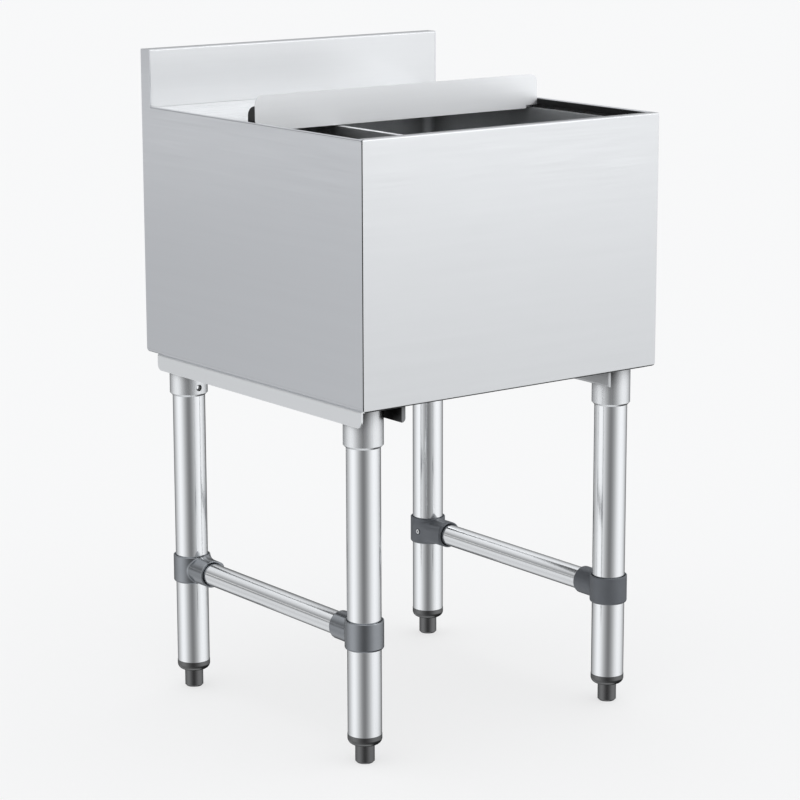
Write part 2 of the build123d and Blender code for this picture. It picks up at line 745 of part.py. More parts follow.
# Tee connectors: a ring on the leg with a branch towards the other leg of the same side.
# A web with a flat pad fills the angle between them on the inner side, except at the front right,
# where the same casting is turned.
pad_sides = {"front_left": 1, "front_right": 1, "rear_left": 1, "rear_right": -1}
web_lean = (web_root - web_tip) / web_reach
pad_face = web_root - web_lean * tee_screw_offset + pad_rise
for name, (side_x, side_y) in corners.items():
    x, y = side_x * leg_x, side_y * leg_y
    tee_z = tee_level[name.split("_")[1]]
    tee_low = tee_z - tee_height / 2
    pad_side = pad_sides[name]
    along = -side_y
    branch_plane = Plane(origin=(x, y, tee_z), x_dir=(1, 0, 0), z_dir=(0, along, 0))
    screw_plane = Plane(origin=(x, y, tee_z), x_dir=(0, 1, 0), z_dir=(pad_side, 0, 0))
    web_plane = Plane(
        origin=(x + pad_side * web_root, y, tee_z),
        x_dir=(-pad_side * web_lean, along, 0),
        z_dir=(pad_side, along * web_lean, 0),
    )
    with BuildPart() as web:
        with BuildSketch(Plane.XY.offset(tee_z - web_height / 2)):
            with BuildLine():
                Polyline(
                    (x, y),
                    (x + pad_side * web_root, y),
                    (x + pad_side * web_tip, y + along * web_reach),
                    (x, y + along * web_reach),
                    close=True,
                )
            make_face()
        extrude(amount=web_height)
        web_face = web.faces().sort_by(Axis((0, 0, 0), web_plane.z_dir))[-1]
        fillet(web_face.edges().filter_by(Axis.Z, reverse=True), web_round)
    with BuildPart() as tee:
        with BuildSketch(Plane.XY.offset(tee_low)):
            with Locations((x, y)):
                Circle(tee_radius)
        extrude(amount=tee_height)
        ring_ends = tee.faces().filter_by(Axis.Z).edges()
        chamfer(ring_ends, tee_edge)
        with BuildSketch(branch_plane):
            Circle(branch_radius)
        extrude(amount=branch_reach)
        mouth = tee.faces().filter_by(Axis.Y).sort_by(Axis.Y)[-1 if along > 0 else 0]
        fillet(mouth.edges(), mouth_round)
        add(web.part)
        with BuildSketch(web_plane.offset(-pad_rise)):
            with Locations(((pad_start + pad_end) / 2, 0)):
                SlotOverall(pad_end - pad_start, pad_width)
        extrude(amount=2 * pad_rise)
        with BuildSketch(Plane.XY.offset(tee_low)):
            with Locations((x, y)):
                Circle(leg_radius + socket_clearance)
        extrude(amount=tee_height, mode=Mode.SUBTRACT)
        with BuildSketch(Plane.XY.offset(tee_low), Plane.XY.offset(tee_low + tee_height - recess_depth)):
            with Locations((x, y)):
                Circle(leg_radius + recess_gap)
        extrude(amount=recess_depth, mode=Mode.SUBTRACT)
        with BuildSketch(branch_plane.offset(cross_end - 1)):
            Circle(cross_radius + socket_clearance)
        extrude(amount=branch_reach, mode=Mode.SUBTRACT)
        with BuildSketch(branch_plane.offset(branch_reach - recess_depth)):
            Circle(cross_radius + recess_gap)
        extrude(amount=recess_depth, mode=Mode.SUBTRACT)
        with BuildSketch(screw_plane):
            with Locations((along * tee_screw_offset, 0)):
                Circle(tee_screw_radius)
        extrude(amount=tee_radius + 5, mode=Mode.SUBTRACT)
        branch_screw_y = y + along * branch_screw_offset
        with BuildSketch(Plane(origin=(x, branch_screw_y, tee_z), z_dir=(0, 0, -1))):
            Circle(tee_screw_radius)
        extrude(amount=branch_radius + 2, mode=Mode.SUBTRACT)
    tee.part.label = f"tee_{name}"
    export_step(tee.part, f"parts/tee_{name}.step")

# Tee set screws: one group, with a screw on each leg and one under each branch
with BuildPart() as tee_set_screws:
    for name, (side_x, side_y) in corners.items():
        x, y = side_x * leg_x, side_y * leg_y
        tee_z = tee_level[name.split("_")[1]]
        along = -side_y
        screw_radius = tee_screw_radius - screw_clearance
        leg_point = (leg_radius**2 - (tee_screw_offset - screw_radius) ** 2) ** 0.5
        leg_screw = Plane(
            origin=(x, y + along * tee_screw_offset, tee_z), z_dir=(pad_sides[name], 0, 0)
        )
        branch_screw = Plane(origin=(x, y + along * branch_screw_offset, tee_z), z_dir=(0, 0, -1))
        screw_ends = ((leg_screw, leg_point, pad_face), (branch_screw, cross_radius, branch_radius))
        for plane, start, end in screw_ends:
            with BuildSketch(plane.offset(start + screw_clearance)):
                Circle(screw_radius)
            extrude(amount=end + 0.4 - start)
            with BuildSketch(plane.offset(end + 0.4 + screw_clearance)):
                RegularPolygon(hexagon_radius(3.0), 6)
            extrude(amount=-hex_socket_depth / 2, mode=Mode.SUBTRACT)
tee_set_screws.part.label = "tee_set_screws"
export_step(tee_set_screws.part, "parts/tee_set_screws.step")

# Cross tubes, one on each side from the rear tee to the front tee
for name, side in sides.items():
    cross_length = 2 * (leg_y - cross_end)
    with BuildPart() as cross_tube:
        with BuildSketch(Plane.XZ.offset(-cross_length / 2)):
            with Locations((side * leg_x, tee_level[name])):
                Circle(cross_radius)
                Circle(cross_radius - cross_wall, mode=Mode.SUBTRACT)
        extrude(amount=cross_length)
    cross_tube.part.label = f"cross_tube_{name}"
    export_step(cross_tube.part, f"parts/cross_tube_{name}.step")

# Foot inserts: plugs in the leg ends with a rounded lip and a long bore for the stem
for name, (side_x, side_y) in corners.items():
    x, y = side_x * leg_x, side_y * leg_y
    leg_plane = Plane(origin=(x, y, 0), x_dir=(1, 0, 0), z_dir=(0, -1, 0))
    leg_axis = Axis((x, y, 0), (0, 0, 1))
    bore = stem_radius + stem_clearance
    with BuildPart() as foot_insert:
        with BuildSketch(leg_plane):
            with BuildLine():
                Polyline(
                    (lip_radius - lip_round, lip_bottom),
                    (bore, lip_bottom),
                    (bore, insert_top),
                    (insert_radius - 1.5, insert_top),
                    (insert_radius, insert_top - 4),
                    (insert_radius, lip_top),
                    (lip_radius, lip_top),
                    (lip_radius, lip_bottom + lip_round),
                )
                RadiusArc(
                    (lip_radius, lip_bottom + lip_round),
                    (lip_radius - lip_round, lip_bottom),
                    lip_round,
                )
            make_face()
        revolve(axis=leg_axis)
    foot_insert.part.label = f"foot_insert_{name}"
    export_step(foot_insert.part, f"parts/foot_insert_{name}.step")

# Foot stems: plain round adjustable feet
for name, (side_x, side_y) in corners.items():
    x, y = side_x * leg_x, side_y * leg_y
    with BuildPart() as foot_stem:
        with BuildSketch(Plane.XY):
            with Locations((x, y)):
                Circle(stem_radius)
        extrude(amount=stem_top)
        chamfer(foot_stem.faces().sort_by(Axis.Z)[0].edges(), stem_chamfer)
        chamfer(foot_stem.faces().sort_by(Axis.Z)[-1].edges(), stem_top_chamfer)
    foot_stem.part.label = f"foot_stem_{name}"
    export_step(foot_stem.part, f"parts/foot_stem_{name}.step")
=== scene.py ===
"""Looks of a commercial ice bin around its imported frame.

X points to the right of the person who faces the bin, Y to the back and Z up. Lengths are in
metres, except where a comment says millimetres.
"""
import math

import bpy
import numpy as np
from mathutils import Matrix, Vector


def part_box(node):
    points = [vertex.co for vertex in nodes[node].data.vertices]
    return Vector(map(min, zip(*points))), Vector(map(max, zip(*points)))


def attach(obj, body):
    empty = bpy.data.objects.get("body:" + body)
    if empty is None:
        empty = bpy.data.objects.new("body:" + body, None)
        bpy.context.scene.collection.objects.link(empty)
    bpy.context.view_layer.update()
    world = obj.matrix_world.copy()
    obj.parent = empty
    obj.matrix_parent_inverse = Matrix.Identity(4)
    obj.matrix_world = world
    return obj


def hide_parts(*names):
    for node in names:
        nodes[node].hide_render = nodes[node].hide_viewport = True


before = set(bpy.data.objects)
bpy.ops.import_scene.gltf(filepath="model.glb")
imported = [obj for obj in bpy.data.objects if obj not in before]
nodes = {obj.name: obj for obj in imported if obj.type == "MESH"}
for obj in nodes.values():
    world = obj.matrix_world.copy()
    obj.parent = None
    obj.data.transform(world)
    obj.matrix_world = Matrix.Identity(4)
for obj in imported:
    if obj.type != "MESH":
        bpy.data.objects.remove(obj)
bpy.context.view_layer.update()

MM = 0.001
X_AXIS, Y_AXIS, Z_AXIS = 0, 1, 2
CORNERS = ("front_left", "front_right", "rear_left", "rear_right")

# Camera, as fitted to the photograph's edges. Its angles are in degrees.
IMAGE_SIDE_PX = 800
FOCAL_PX = 2772.0
SENSOR_MM = 36.0
CAMERA_PLACE = (-2.0723, -2.7302, 1.1288)
CAMERA_AZIMUTH = 37.243
CAMERA_PITCH = 12.22
CAMERA_ROLL = -0.145
CLIP_END = 200.0

# Floor
FLOOR_HALF = 60.0
FLOOR_GLOW = 0.65
FLOOR_ALBEDO = 0.34

# Studio light, with its angles in degrees. A bearing is taken from the direction of the camera,
# positive to the left of the photograph, and a height from the horizon. The low ring of light near
# the horizon has its levels by bearing and by height. The high ring above it and the deep one below
# it have theirs by bearing, and the dome by height. Straight below, the level is even. Each of the
# later layers takes over from the ones before it between its START and its FULL height.
BACKDROP = 0.935
STUDIO_AXIS = 180.0 + CAMERA_AZIMUTH
LIGHT_TINT = (0.985, 1.0, 1.02)
AROUND_LOW = ((-180, 0.04), (-166, 0.06), (-150, 0.20), (-134, 0.42), (-118, 0.66), (-102, 0.86),
              (-86, 0.96), (-68, 0.98), (-50, 0.80), (-32, 0.47), (-14, 0.25), (0, 0.17),
              (14, 0.25), (32, 0.48), (50, 0.80), (66, 0.98), (82, 0.96), (98, 0.78), (112, 0.60),
              (126, 0.46), (142, 0.32), (152, 0.20), (166, 0.06), (180, 0.04))
LOW_LEVELS = ((-90, 0.93), (-50, 0.94), (-18, 0.96), (-12, 1.00), (-6, 1.08), (30, 1.10),
              (90, 1.10))
AROUND_HIGH = ((-180, 0.15), (-150, 0.60), (-120, 0.90), (-95, 1.10), (-74, 1.18), (-50, 0.95),
               (-25, 0.45), (0, 0.25), (30, 0.50), (60, 0.80), (82, 0.60), (98, 0.20),
               (122, 0.20), (140, 0.50), (160, 0.25), (180, 0.15))
HIGH_START = -5.0
HIGH_FULL = 3.0
DOME_LEVELS = ((0, 0.60), (20, 0.60), (34, 0.72), (45, 1.00), (70, 1.20), (90, 1.10))
DOME_START = 8.0
DOME_FULL = 34.0
AROUND_DEEP = ((-180, 0.10), (-150, 0.05), (-110, 0.05), (-80, 0.10), (-50, 0.25), (-20, 0.20),
               (20, 0.30), (50, 0.70), (85, 0.62), (105, 0.58), (120, 0.70), (138, 0.72),
               (150, 0.45), (160, 0.20), (180, 0.05))
DEEP_START = -17.0
DEEP_FULL = -31.0
FOOT_LEVEL = 0.80
FOOT_START = -56.0
FOOT_FULL = -70.0

# Softboxes: place, width and height, radiance, and the nodes it lights, where it doesn't light all
SOFTBOX_AIM = (0.0, 0.0, 0.7)
SOFTBOXES = (((1.45, -2.25, 0.55), (1.4, 0.35), 0.55, ()),
             ((-1.67, 1.80, 0.52), (1.2, 0.20), 0.50, ()),
             ((1.70, -2.30, 1.95), (1.3, 1.00), 1.90, ()),
             ((1.70, -2.30, 1.95), (1.3, 1.00), 4.00, ("pull_plate", "rear_panel")),
             ((-1.00, -1.05, 0.36), (1.3, 0.62), 0.75,
              ("front_panel", "left_side_panel", "rear_panel", "pull_plate", "leg_channel_left")),
             ((1.00, 1.05, 0.36), (1.3, 0.62), 0.75,
              ("rear_panel", "right_side_panel", "leg_channel_right")))

# Noise: its usual range, and scales in cells for each metre, across and along the brush lines or
# the same in all directions
NOISE_START = 0.3
NOISE_END = 0.7
BRUSH_LINES = (900.0, 9.0)
BRUSH_BANDS = (90.0, 1.5)
PLASTIC_GRAIN = 1800.0
PLASTIC_CLOUD = 40.0
CAST_GRAIN = 900.0
CAST_CLOUD = 60.0
FOAM_CELLS = 700.0

# Spread of tone and roughness around a material's own value, and depths and strengths of bumps
STEEL_TONE_SPREAD = 0.015
PLASTIC_TONE_SPREAD = 0.2
ROUGHNESS_SPREAD = 0.04
STEEL_DEPTH = 0.0002
SHEET_RELIEF = 0.05
TUBE_RELIEF = 0.02
GRAIN_DEPTH = 0.0001
PLASTIC_RELIEF = 0.10
FOOT_RELIEF = 0.01
CAST_RELIEF = 0.2
FOAM_DEPTH = 0.0004
FOAM_RELIEF = 0.4

# Colours: tints of steel, and the darker and the lighter one of castings and of foam
STEEL_TINT = (0.99, 1.0, 1.01)
SIDE_TINT = (0.975, 0.99, 1.02)
# The two pairs of casting colours are one metal's, the second pair darker as painted shade
CAST_LIT = ((0.31, 0.325, 0.345), (0.35, 0.365, 0.385))
CAST_SHADED = ((0.14, 0.15, 0.165), (0.17, 0.18, 0.195))
FOAM_COLOURS = ((0.80, 0.70, 0.42), (0.90, 0.82, 0.58))

# Painted shade in enclosed places, on faces that look down and on the inboard side of a channel,
# whose edge is taken inward from the channel's outer face
CREVICE_SAMPLES = 8
CREVICE_CLOSED = 0.30
CREVICE_OPEN = 0.92
UNDERSIDE_FULL = -0.45
UNDERSIDE_START = -0.05
INBOARD_EDGE = 0.0045
INBOARD_BLEND = 0.0005
INBOARD_SPREAD = 0.02


def rgb(red, green, blue):
    """A colour with full opacity."""
    return (red, green, blue, 1.0)


def grey(value):
    """A neutral colour with full opacity."""
    return rgb(value, value, value)


# Shader nodes

def feed(tree, socket, value):
    """Link an input to an output, or set it to a plain value."""
    if isinstance(value, bpy.types.NodeSocket):
        tree.links.new(value, socket)
    else:
        socket.default_value = value


def math_node(tree, operation, first, second=0.0):
    """Result of a maths node on sockets or numbers."""
    node = tree.nodes.new("ShaderNodeMath")
    node.operation = operation
    feed(tree, node.inputs[0], first)
    feed(tree, node.inputs[1], second)
    return node.outputs[0]


def split_vector(tree, vector):
    """The X, Y and Z outputs of a vector."""
    node = tree.nodes.new("ShaderNodeSeparateXYZ")
    tree.links.new(vector, node.inputs[0])
    return node.outputs


def remap(tree, value, low, high, start=NOISE_START, end=NOISE_END, interpolation="LINEAR"):
    """Spread a value between start and end over low to high."""
    node = tree.nodes.new("ShaderNodeMapRange")
    node.interpolation_type = interpolation
    node.inputs["From Min"].default_value = start
    node.inputs["From Max"].default_value = end
    node.inputs["To Min"].default_value = low
    node.inputs["To Max"].default_value = high
    tree.links.new(value, node.inputs["Value"])
    return node.outputs["Result"]


def mix(tree, factor, first, second, kind="RGBA"):
    """Blend two colours, or two numbers with the kind FLOAT."""
    node = tree.nodes.new("ShaderNodeMix")
    node.data_type = kind
    feed(tree, node.inputs["Factor"], factor)
    feed(tree, node.inputs["A"], first)
    feed(tree, node.inputs["B"], second)
    return node.outputs["Result"]


def angle_ramp(tree, angle, stops):
    """Smooth level by an angle in radians, with stops given as (degrees, level)."""
    first, last = stops[0][0], stops[-1][0]
    node = tree.nodes.new("ShaderNodeValToRGB")
    ramp = node.color_ramp
    ramp.interpolation = "B_SPLINE"
    while len(ramp.elements) > 1:
        ramp.elements.remove(ramp.elements[-1])
    ramp.elements[0].position = 0.0
    ramp.elements[0].color = grey(stops[0][1])
    for degrees, level in stops[1:]:
        ramp.elements.new((degrees - first) / (last - first)).color = grey(level)
    share = remap(tree, angle, 0.0, 1.0, math.radians(first), math.radians(last))
    tree.links.new(share, node.inputs[0])
    return math_node(tree, "ADD", node.outputs["Color"], 0.0)


# Camera, floor and light

def make_camera():
    """Camera at the photograph's place and angle."""
    data = bpy.data.cameras.new("camera")
    data.sensor_width = SENSOR_MM
    data.lens = FOCAL_PX * SENSOR_MM / IMAGE_SIDE_PX
    data.clip_end = CLIP_END
    camera = bpy.data.objects.new("camera", data)
    bpy.context.scene.collection.objects.link(camera)
    turn = Matrix.Rotation(math.radians(-CAMERA_AZIMUTH), 4, "Z")
    tilt = Matrix.Rotation(math.radians(90.0 - CAMERA_PITCH), 4, "X")
    roll = Matrix.Rotation(math.radians(CAMERA_ROLL), 4, "Z")
    camera.matrix_world = Matrix.Translation(CAMERA_PLACE) @ turn @ tilt @ roll
    bpy.context.scene.camera = camera


def make_floor():
    """Plain pale floor with a faint glow, kept out of reflections: they show the studio."""
    half = FLOOR_HALF
    mesh = bpy.data.meshes.new("floor")
    corners = [(-half, -half, 0), (half, -half, 0), (half, half, 0), (-half, half, 0)]
    mesh.from_pydata(corners, [], [(0, 1, 2, 3)])
    floor = bpy.data.objects.new("floor", mesh)
    bpy.context.scene.collection.objects.link(floor)
    material, _, shader = new_material("floor")
    shader.inputs["Base Color"].default_value = grey(FLOOR_ALBEDO)
    shader.inputs["Roughness"].default_value = 1.0
    shader.inputs["Specular IOR Level"].default_value = 0.0
    shader.inputs["Emission Color"].default_value = grey(1.0)
    shader.inputs["Emission Strength"].default_value = FLOOR_GLOW
    mesh.materials.append(material)
    floor.visible_glossy = False


def make_world():
    """Studio light in layers by height, and a plain backdrop for the camera."""
    world = bpy.data.worlds.new("studio")
    bpy.context.scene.world = world
    world.use_nodes = True
    tree = world.node_tree
    tree.nodes.clear()
    make, link = tree.nodes.new, tree.links.new
    coordinate = make("ShaderNodeTexCoord")
    turn = make("ShaderNodeVectorRotate")
    turn.rotation_type = "Z_AXIS"
    turn.inputs["Angle"].default_value = math.radians(STUDIO_AXIS)
    link(coordinate.outputs["Generated"], turn.inputs["Vector"])
    direction = split_vector(tree, turn.outputs["Vector"])
    heading = math_node(tree, "ARCTAN2", direction["X"], direction["Y"])
    height = math_node(tree, "ARCSINE", direction["Z"])
    level = math_node(tree, "MULTIPLY", angle_ramp(tree, heading, AROUND_LOW),
                      angle_ramp(tree, height, LOW_LEVELS))
    layers = ((angle_ramp(tree, heading, AROUND_HIGH), HIGH_START, HIGH_FULL),
              (angle_ramp(tree, height, DOME_LEVELS), DOME_START, DOME_FULL),
              (angle_ramp(tree, heading, AROUND_DEEP), DEEP_START, DEEP_FULL),
              (FOOT_LEVEL, FOOT_START, FOOT_FULL))
    for layer, start, full in layers:
        share = remap(tree, height, 0.0, 1.0, math.radians(start), math.radians(full),
                      "SMOOTHSTEP")
        level = mix(tree, share, level, layer, "FLOAT")
    tinted = make("ShaderNodeVectorMath")
    tinted.operation = "SCALE"
    tinted.inputs[0].default_value = LIGHT_TINT
    link(level, tinted.inputs["Scale"])
    seen = make("ShaderNodeLightPath").outputs["Is Camera Ray"]
    glow = make("ShaderNodeBackground")
    link(mix(tree, seen, tinted.outputs[0], grey(BACKDROP)), glow.inputs["Color"])
    output = make("ShaderNodeOutputWorld")
    link(glow.outputs[0], output.inputs["Surface"])


def make_softboxes():
    """Soft panels of light that show only as reflections, some of them in a few nodes alone."""
    for place, (width, height), radiance, only in SOFTBOXES:
        data = bpy.data.lights.new("softbox", "AREA")
        data.shape = "RECTANGLE"
        data.size = width
        data.size_y = height
        data.energy = radiance * math.pi * width * height
        softbox = bpy.data.objects.new("softbox", data)
        softbox.location = place
        away = Vector(place) - Vector(SOFTBOX_AIM)
        softbox.rotation_euler = away.to_track_quat("Z", "Y").to_euler()
        softbox.visible_diffuse = False
        softbox.visible_camera = False
        if only:
            lit = bpy.data.collections.new("lit")
            for name in only:
                lit.objects.link(nodes[name])
            softbox.light_linking.receiver_collection = lit
        bpy.context.scene.collection.objects.link(softbox)


# Materials

def new_material(name):
    """A material with its node tree and its shader."""
    material = bpy.data.materials.new(name)
    material.use_nodes = True
    tree = material.node_tree
    return material, tree, tree.nodes["Principled BSDF"]


def noise(tree, scale, detail=2.0):
    """Noise in the object's own metres, with one scale, or one for each axis."""
    coordinate = tree.nodes.new("ShaderNodeTexCoord")
    mapping = tree.nodes.new("ShaderNodeMapping")
    mapping.inputs["Scale"].default_value = [scale] * 3 if isinstance(scale, float) else scale
    node = tree.nodes.new("ShaderNodeTexNoise")
    node.inputs["Scale"].default_value = 1.0
    node.inputs["Detail"].default_value = detail
    tree.links.new(coordinate.outputs["Object"], mapping.inputs["Vector"])
    tree.links.new(mapping.outputs["Vector"], node.inputs["Vector"])
    return node.outputs["Fac"]


def brushed_noise(tree, scales, axis):
    """Noise drawn out along an axis, from its scales across and along it."""
    across, along = scales
    return noise(tree, [along if other == axis else across for other in range(3)])


def vary_roughness(tree, shader, value, roughness):
    """Spread the roughness around its own value."""
    spread = remap(tree, value, roughness - ROUGHNESS_SPREAD, roughness + ROUGHNESS_SPREAD)
    tree.links.new(spread, shader.inputs["Roughness"])


def bump(tree, shader, height, strength, distance):
    """Raise the surface by a height."""
    node = tree.nodes.new("ShaderNodeBump")
    node.inputs["Strength"].default_value = strength
    node.inputs["Distance"].default_value = distance
    tree.links.new(height, node.inputs["Height"])
    tree.links.new(node.outputs["Normal"], shader.inputs["Normal"])


def crevice_shade(tree, colour, reach, darkest):
    """Painted shade: darken a colour to a grey where the surface is enclosed within a reach."""
    shade = tree.nodes.new("ShaderNodeAmbientOcclusion")
    shade.samples = CREVICE_SAMPLES
    shade.inputs["Distance"].default_value = reach
    openness = remap(tree, shade.outputs["AO"], 0.0, 1.0, CREVICE_CLOSED, CREVICE_OPEN)
    return mix(tree, openness, grey(darkest), colour)


def underside_shade(tree, colour, darkest):
    """Painted shade: darken a colour to a grey where the surface turns downward."""
    geometry = tree.nodes.new("ShaderNodeNewGeometry")
    normal = split_vector(tree, geometry.outputs["Normal"])
    upward = remap(tree, normal["Z"], 0.0, 1.0, UNDERSIDE_FULL, UNDERSIDE_START)
    return mix(tree, upward, grey(darkest), colour)


# Painted shade on the inboard side of a channel, by the distance from the middle plane
def inboard_shade(tree, shaded, plain, bands, edge, share):
    """A share of one colour within a distance of the middle plane, and the other outside it."""
    dimmed = tree.nodes.new("ShaderNodeVectorMath")
    dimmed.operation = "MULTIPLY"
    tree.links.new(shaded, dimmed.inputs[0])
    tree.links.new(mix(tree, bands, grey(share - INBOARD_SPREAD), grey(share + INBOARD_SPREAD)),
                   dimmed.inputs[1])
    coordinate = tree.nodes.new("ShaderNodeTexCoord")
    place = split_vector(tree, coordinate.outputs["Object"])
    distance = math_node(tree, "ABSOLUTE", place["X"])
    outside = remap(tree, distance, 0.0, 1.0, edge - INBOARD_BLEND, edge)
    return mix(tree, outside, dimmed.outputs[0], plain)


def brushed_steel(name, tone, roughness, along, tint=STEEL_TINT, crevice=None, inboard=None,
                  underside=None, relief=SHEET_RELIEF):
    """Satin stainless steel with brush lines along one axis.

    crevice is the reach and the grey of painted shade in enclosed places. With inboard, which is a
    distance from the middle plane and a share of the tone, that shade holds within that distance
    only. underside is the grey of painted shade on what faces down.
    """
    material, tree, shader = new_material(name)
    shader.inputs["Metallic"].default_value = 1.0
    lines = brushed_noise(tree, BRUSH_LINES, along)
    bands = brushed_noise(tree, BRUSH_BANDS, along)
    low = rgb(*(tone * (1.0 - STEEL_TONE_SPREAD) * part for part in tint))
    high = rgb(*(tone * (1.0 + STEEL_TONE_SPREAD) * part for part in tint))
    colour = mix(tree, bands, low, high)
    if crevice:
        shaded = crevice_shade(tree, colour, *crevice)
        colour = inboard_shade(tree, shaded, colour, bands, *inboard) if inboard else shaded
    if underside:
        colour = underside_shade(tree, colour, underside)
    tree.links.new(colour, shader.inputs["Base Color"])
    vary_roughness(tree, shader, lines, roughness)
    bump(tree, shader, lines, relief, STEEL_DEPTH)
    return material


def black_plastic(name, tone, roughness, index=1.5, relief=PLASTIC_RELIEF):
    """Moulded black plastic or rubber with a fine grain and an index of refraction."""
    material, tree, shader = new_material(name)
    shader.inputs["IOR"].default_value = index
    grain = noise(tree, PLASTIC_GRAIN, detail=3.0)
    cloud = noise(tree, PLASTIC_CLOUD)
    low, high = tone * (1.0 - PLASTIC_TONE_SPREAD), tone * (1.0 + PLASTIC_TONE_SPREAD)
    tree.links.new(mix(tree, cloud, grey(low), grey(high)), shader.inputs["Base Color"])
    vary_roughness(tree, shader, cloud, roughness)
    bump(tree, shader, grain, relief, GRAIN_DEPTH)
    return material


def cast_metal(name, colours, metallic, roughness):
    """Bluish grey casting with a satin surface, between two colours."""
    material, tree, shader = new_material(name)
    shader.inputs["Metallic"].default_value = metallic
    grain = noise(tree, CAST_GRAIN, detail=4.0)
    cloud = noise(tree, CAST_CLOUD)
    low, high = colours
    tree.links.new(mix(tree, cloud, rgb(*low), rgb(*high)), shader.inputs["Base Color"])
    vary_roughness(tree, shader, grain, roughness)
    bump(tree, shader, grain, CAST_RELIEF, GRAIN_DEPTH)
    return material


def rigid_foam():
    """Pale rigid foam with fine cells."""
    material, tree, shader = new_material("foam")
    cells = noise(tree, FOAM_CELLS, detail=4.0)
    low, high = FOAM_COLOURS
    tree.links.new(mix(tree, cells, rgb(*low), rgb(*high)), shader.inputs["Base Color"])
    shader.inputs["Roughness"].default_value = 0.9
    bump(tree, shader, cells, FOAM_RELIEF, FOAM_DEPTH)
    return material


def assign(material, *names):
    """Give CAD nodes a material."""
    for name in names:
        slots = nodes[name].data.materials
        slots.clear()
        slots.append(material)


def each(prefix):
    """Node names of the four legs' pieces."""
    return [f"{prefix}_{corner}" for corner in CORNERS]


def dress_frame(gasket):
    """Materials of the CAD nodes that stay. The drain's gasket gets the one that is given."""
    # The front panel's bottom bend gets painted shade where it faces down
    assign(brushed_steel("steel_across", tone=0.745, roughness=0.32, along=X_AXIS,
                         underside=0.04), "front_panel")
    assign(brushed_steel("steel_splash", tone=0.73, roughness=0.42, along=X_AXIS), "rear_panel")
    assign(brushed_steel("steel_plate", tone=0.88, roughness=0.55, along=X_AXIS), "pull_plate")
    assign(brushed_steel("steel_side", tone=0.73, roughness=0.32, along=Y_AXIS, tint=SIDE_TINT),
           "left_side_panel", "right_side_panel")
    # Painted shade in the tank's and the divider's enclosed places
    assign(brushed_steel("steel_tank", tone=0.86, roughness=0.38, along=X_AXIS,
                         crevice=(0.06, 0.10)),
           "ice_tank", "well_divider", "divider_tongue_front", "divider_tongue_rear")
    assign(brushed_steel("steel_cover", tone=0.83, roughness=0.30, along=X_AXIS),
           "sliding_cover", "rear_cover")
    # The bottom panel's steel is darkened to a deep grey as painted shade, with painted shade in
    # its crevices too
    assign(brushed_steel("steel_bottom", tone=0.25, roughness=0.50, along=X_AXIS,
                         crevice=(0.05, 0.02)), "bottom_panel")
    # Painted shade inside each channel, deeper in the left one than in the right one
    edge = -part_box("leg_channel_left")[0][0] - INBOARD_EDGE
    for side, share in (("left", 0.28), ("right", 0.72)):
        assign(brushed_steel(f"steel_channel_{side}", tone=0.95, roughness=0.42, along=Y_AXIS,
                             crevice=(0.05, 0.03), inboard=(edge, share)), f"leg_channel_{side}")
    assign(brushed_steel("steel_leg", tone=0.96, roughness=0.14, along=Z_AXIS,
                         relief=TUBE_RELIEF), *each("leg_tube"))
    assign(brushed_steel("steel_cross", tone=0.96, roughness=0.16, along=Y_AXIS,
                         relief=TUBE_RELIEF), "cross_tube_left", "cross_tube_right")
    # Painted shade where the leg sockets are enclosed
    assign(brushed_steel("steel_socket", tone=0.90, roughness=0.27, along=Z_AXIS,
                         crevice=(0.03, 0.05)), *each("leg_socket"))
    assign(brushed_steel("steel_drain", tone=0.70, roughness=0.30, along=Z_AXIS),
           "drain_body", "drain_locknut", "drain_strainer")
    assign(black_plastic("plastic_trim", tone=0.012, roughness=0.40, index=1.35),
           "cover_rail_left", "cover_rail_right", "cover_end_block_left", "cover_end_block_right")
    assign(black_plastic("plastic_foot", tone=0.004, roughness=0.17, index=2.3,
                         relief=FOOT_RELIEF), *each("foot_insert"), *each("foot_stem"))
    assign(gasket, "drain_gasket")
    assign(rigid_foam(), "foam_floor", "foam_front", "foam_rear", "foam_left", "foam_right")


# New pieces

def new_piece(name, points, faces, material, body="root"):
    """A mesh object from points in metres, shaded smooth, that rides on a body."""
    mesh = bpy.data.meshes.new(name)
    mesh.from_pydata([tuple(point) for point in points], [], [tuple(face) for face in faces])
    mesh.materials.append(material)
    mesh.shade_smooth()
    piece = bpy.data.objects.new(name, mesh)
    bpy.context.scene.collection.objects.link(piece)
    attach(piece, body)
    return piece


def box_middle(name):
    """Middle of a node's box."""
    low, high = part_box(name)
    return (Vector(low) + Vector(high)) / 2.0


def tee_place(corner):
    """Middle of a tee's ring, and the signs of its branch along Y and of its pad along X."""
    leg = box_middle(f"leg_tube_{corner}")
    middle = (leg.x, leg.y, box_middle(f"tee_{corner}").z)
    along = -1.0 if "rear" in corner else 1.0
    pad = -1.0 if corner == "rear_right" else 1.0
    return middle, along, pad


# Tee connectors: one smooth casting each, from a distance field. Its own frame has the ring's axis
# as Z, the branch along +Y and the web with its pad towards +X, in millimetres.
RING_RADIUS = 23.6
RING_HALF = 17.7
RING_TOP_ROUND = 1.0
RING_FOOT_ROUND = 2.6
BRANCH_RADIUS = 17.6
BRANCH_REACH = 48.0
BRANCH_ROUND = 0.8
LEG_BORE = 20.95
BRANCH_BORE = 14.6
BRANCH_BORE_START = 25.0
RECESS_GAP = 0.95
RECESS_DEPTH = 2.5
WEB_ROOT = 23.4
WEB_TIP = 17.8
WEB_REACH = 46.0
WEB_HALF = 12.0
WEB_ROUND = 7.0
PAD_START = 2.0
PAD_END = 41.0
PAD_HALF = 6.0
PAD_RISE = 0.5
PAD_ROUND = 0.3
SCREW_ALONG = 8.0
SCREW_HOLE = 3.5
BRANCH_SCREW_ALONG = 37.0
HOLE_ROUND = 0.5

